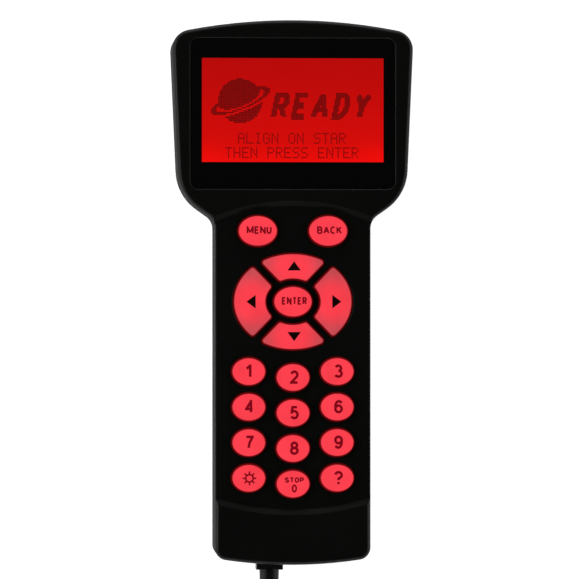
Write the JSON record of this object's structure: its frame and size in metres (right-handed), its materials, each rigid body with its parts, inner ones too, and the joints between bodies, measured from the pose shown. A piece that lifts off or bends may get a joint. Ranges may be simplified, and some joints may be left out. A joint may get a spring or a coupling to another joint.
{
  "type": "hand controller",
  "caption": "Wide-headed black hand controller with a red-lit display, an arrow pad, a grid of lit oval keys and a coiled lead with modular plugs.",
  "frame": {"origin": "on the flat back, under the middle of the casing's outline", "axes": "+Z out of the key face, +Y towards the display end, +X to the right of a reader looking at the keys"},
  "size_m": [0.1049, 0.3323, 0.0274],
  "materials": {
    "shell_plastic": "fine spark texture",
    "window_clear": "polished",
    "mask_black": "smooth",
    "display_glass": "polished",
    "frame_white": "satin",
    "guide_acrylic": "polished",
    "lamp_epoxy": "clear",
    "ribbon_film": "satin",
    "connector_plastic": "satin",
    "board_laminate": "solder mask",
    "contact_gold": "plated",
    "mat_silicone": "satin",
    "key_silicone": "satin",
    "chip_epoxy": "moulded",
    "can_metal": "satin",
    "sleeve_black": "sleeve",
    "cell_metal": "satin",
    "socket_plastic": "moulded",
    "lens_clear": "polished",
    "screw_steel": "zinc plated",
    "label_foil": "satin foil",
    "plug_black": "moulded",
    "boot_rubber": "moulded",
    "lead_rubber": "extruded jacket",
    "tie_fabric": "hook and loop"
  },
  "bodies": {
    "casing": {"front_shell": "shell_plastic", "back_shell": "shell_plastic", "display_window": "window_clear", "window_mask": "mask_black", "display_cell": "display_glass", "display_holder": "frame_white", "light_panel": "guide_acrylic", "panel_lamps": "lamp_epoxy", "display_ribbon": "ribbon_film", "ribbon_connector": "connector_plastic", "circuit_board": "board_laminate", "contact_pads": "contact_gold", "keypad_mat": "mat_silicone", "key_lamps": "lamp_epoxy", "processor": "chip_epoxy", "memory_chips": "chip_epoxy", "clock_crystal": "can_metal", "capacitors": "sleeve_black", "coin_cell": "cell_metal", "cell_holder": "socket_plastic", "buzzer": "sleeve_black", "reading_lamp": "lamp_epoxy", "reading_lamp_lens": "lens_clear", "rating_label": "label_foil", "lead_socket": "socket_plastic", "lead_socket_contacts": "contact_gold", "serial_socket": "socket_plastic", "serial_socket_contacts": "contact_gold", "casing_screws": "screw_steel", "board_screws": "screw_steel", "near_plug": "plug_black", "near_plug_contacts": "contact_gold", "near_boot": "boot_rubber", "lead": "lead_rubber", "lead_coil": "lead_rubber", "coil_tie": "tie_fabric", "lead_tail": "lead_rubber", "far_boot": "boot_rubber", "far_plug": "plug_black", "far_plug_contacts": "contact_gold"},
    "key_menu": {"key_menu": "key_silicone"},
    "key_back": {"key_back": "key_silicone"},
    "key_up": {"key_up": "key_silicone"},
    "key_down": {"key_down": "key_silicone"},
    "key_left": {"key_left": "key_silicone"},
    "key_right": {"key_right": "key_silicone"},
    "key_enter": {"key_enter": "key_silicone"},
    "key_1": {"key_1": "key_silicone"},
    "key_2": {"key_2": "key_silicone"},
    "key_3": {"key_3": "key_silicone"},
    "key_4": {"key_4": "key_silicone"},
    "key_5": {"key_5": "key_silicone"},
    "key_6": {"key_6": "key_silicone"},
    "key_7": {"key_7": "key_silicone"},
    "key_8": {"key_8": "key_silicone"},
    "key_9": {"key_9": "key_silicone"},
    "key_light": {"key_light": "key_silicone"},
    "key_0": {"key_0": "key_silicone"},
    "key_help": {"key_help": "key_silicone"}
  },
  "joints": [
    {"name": "key_menu_press", "type": "slide", "parent": "casing", "child": "key_menu", "axis": [0, 0, -1], "range_m": [0, 0.0012], "stiffness_N_per_m": 1000},
    {"name": "key_back_press", "type": "slide", "parent": "casing", "child": "key_back", "axis": [0, 0, -1], "range_m": [0, 0.0012], "stiffness_N_per_m": 1000},
    {"name": "key_up_press", "type": "slide", "parent": "casing", "child": "key_up", "axis": [0, 0, -1], "range_m": [0, 0.0012], "stiffness_N_per_m": 1000},
    {"name": "key_down_press", "type": "slide", "parent": "casing", "child": "key_down", "axis": [0, 0, -1], "range_m": [0, 0.0012], "stiffness_N_per_m": 1000},
    {"name": "key_left_press", "type": "slide", "parent": "casing", "child": "key_left", "axis": [0, 0, -1], "range_m": [0, 0.0012], "stiffness_N_per_m": 1000},
    {"name": "key_right_press", "type": "slide", "parent": "casing", "child": "key_right", "axis": [0, 0, -1], "range_m": [0, 0.0012], "stiffness_N_per_m": 1000},
    {"name": "key_enter_press", "type": "slide", "parent": "casing", "child": "key_enter", "axis": [0, 0, -1], "range_m": [0, 0.0012], "stiffness_N_per_m": 1000},
    {"name": "key_1_press", "type": "slide", "parent": "casing", "child": "key_1", "axis": [0, 0, -1], "range_m": [0, 0.0012], "stiffness_N_per_m": 1000},
    {"name": "key_2_press", "type": "slide", "parent": "casing", "child": "key_2", "axis": [0, 0, -1], "range_m": [0, 0.0012], "stiffness_N_per_m": 1000},
    {"name": "key_3_press", "type": "slide", "parent": "casing", "child": "key_3", "axis": [0, 0, -1], "range_m": [0, 0.0012], "stiffness_N_per_m": 1000},
    {"name": "key_4_press", "type": "slide", "parent": "casing", "child": "key_4", "axis": [0, 0, -1], "range_m": [0, 0.0012], "stiffness_N_per_m": 1000},
    {"name": "key_5_press", "type": "slide", "parent": "casing", "child": "key_5", "axis": [0, 0, -1], "range_m": [0, 0.0012], "stiffness_N_per_m": 1000},
    {"name": "key_6_press", "type": "slide", "parent": "casing", "child": "key_6", "axis": [0, 0, -1], "range_m": [0, 0.0012], "stiffness_N_per_m": 1000},
    {"name": "key_7_press", "type": "slide", "parent": "casing", "child": "key_7", "axis": [0, 0, -1], "range_m": [0, 0.0012], "stiffness_N_per_m": 1000},
    {"name": "key_8_press", "type": "slide", "parent": "casing", "child": "key_8", "axis": [0, 0, -1], "range_m": [0, 0.0012], "stiffness_N_per_m": 1000},
    {"name": "key_9_press", "type": "slide", "parent": "casing", "child": "key_9", "axis": [0, 0, -1], "range_m": [0, 0.0012], "stiffness_N_per_m": 1000},
    {"name": "key_light_press", "type": "slide", "parent": "casing", "child": "key_light", "axis": [0, 0, -1], "range_m": [0, 0.0012], "stiffness_N_per_m": 1000},
    {"name": "key_0_press", "type": "slide", "parent": "casing", "child": "key_0", "axis": [0, 0, -1], "range_m": [0, 0.0012], "stiffness_N_per_m": 1000},
    {"name": "key_help_press", "type": "slide", "parent": "casing", "child": "key_help", "axis": [0, 0, -1], "range_m": [0, 0.0012], "stiffness_N_per_m": 1000}
  ]
}
